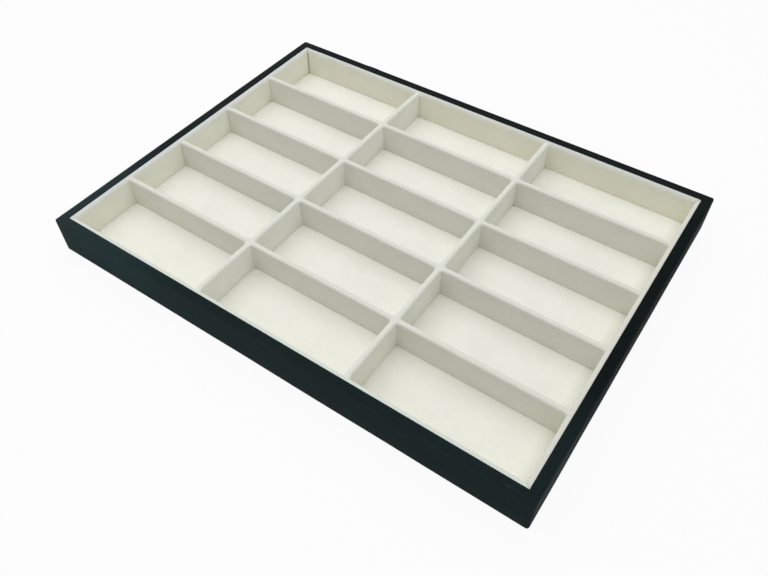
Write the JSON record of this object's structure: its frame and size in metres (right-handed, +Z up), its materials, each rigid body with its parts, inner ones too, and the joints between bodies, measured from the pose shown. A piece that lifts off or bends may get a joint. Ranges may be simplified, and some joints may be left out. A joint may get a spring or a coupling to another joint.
{
  "type": "eyewear display tray",
  "caption": "Shallow open display tray: black leatherette sides, cream velvet lining, and half-lapped velvet dividers that make long equal compartments for folded glasses.",
  "frame": {"origin": "middle of the underside, on the surface that the tray rests on", "axes": "+X along the length of the tray and of its compartments, +Y from the front to the back, +Z up"},
  "size_m": [0.51, 0.384, 0.0395],
  "materials": {
    "black_leatherette": "matt, finely grained",
    "cream_velvet": "short pile velvet",
    "black_felt": "felt",
    "mdf": "raw fibreboard",
    "card": "raw grey board",
    "steel": "bright wire"
  },
  "bodies": {
    "root": {"front_wall_board": "mdf", "back_wall_board": "mdf", "left_wall_board": "mdf", "right_wall_board": "mdf", "base_board": "mdf", "floor_board": "mdf", "front_lining_board": "card", "back_lining_board": "card", "left_lining_board": "card", "right_lining_board": "card", "column_divider_1_board": "card", "column_divider_2_board": "card", "row_divider_1_board": "card", "row_divider_2_board": "card", "row_divider_3_board": "card", "row_divider_4_board": "card", "front_lining_velvet": "cream_velvet", "back_lining_velvet": "cream_velvet", "left_lining_velvet": "cream_velvet", "right_lining_velvet": "cream_velvet", "column_divider_1_velvet": "cream_velvet", "column_divider_2_velvet": "cream_velvet", "row_divider_1_velvet": "cream_velvet", "row_divider_2_velvet": "cream_velvet", "row_divider_3_velvet": "cream_velvet", "row_divider_4_velvet": "cream_velvet", "floor_velvet": "cream_velvet", "outer_cover": "black_leatherette", "underside_felt": "black_felt", "corner_pins": "steel"}
  },
  "joints": []
}
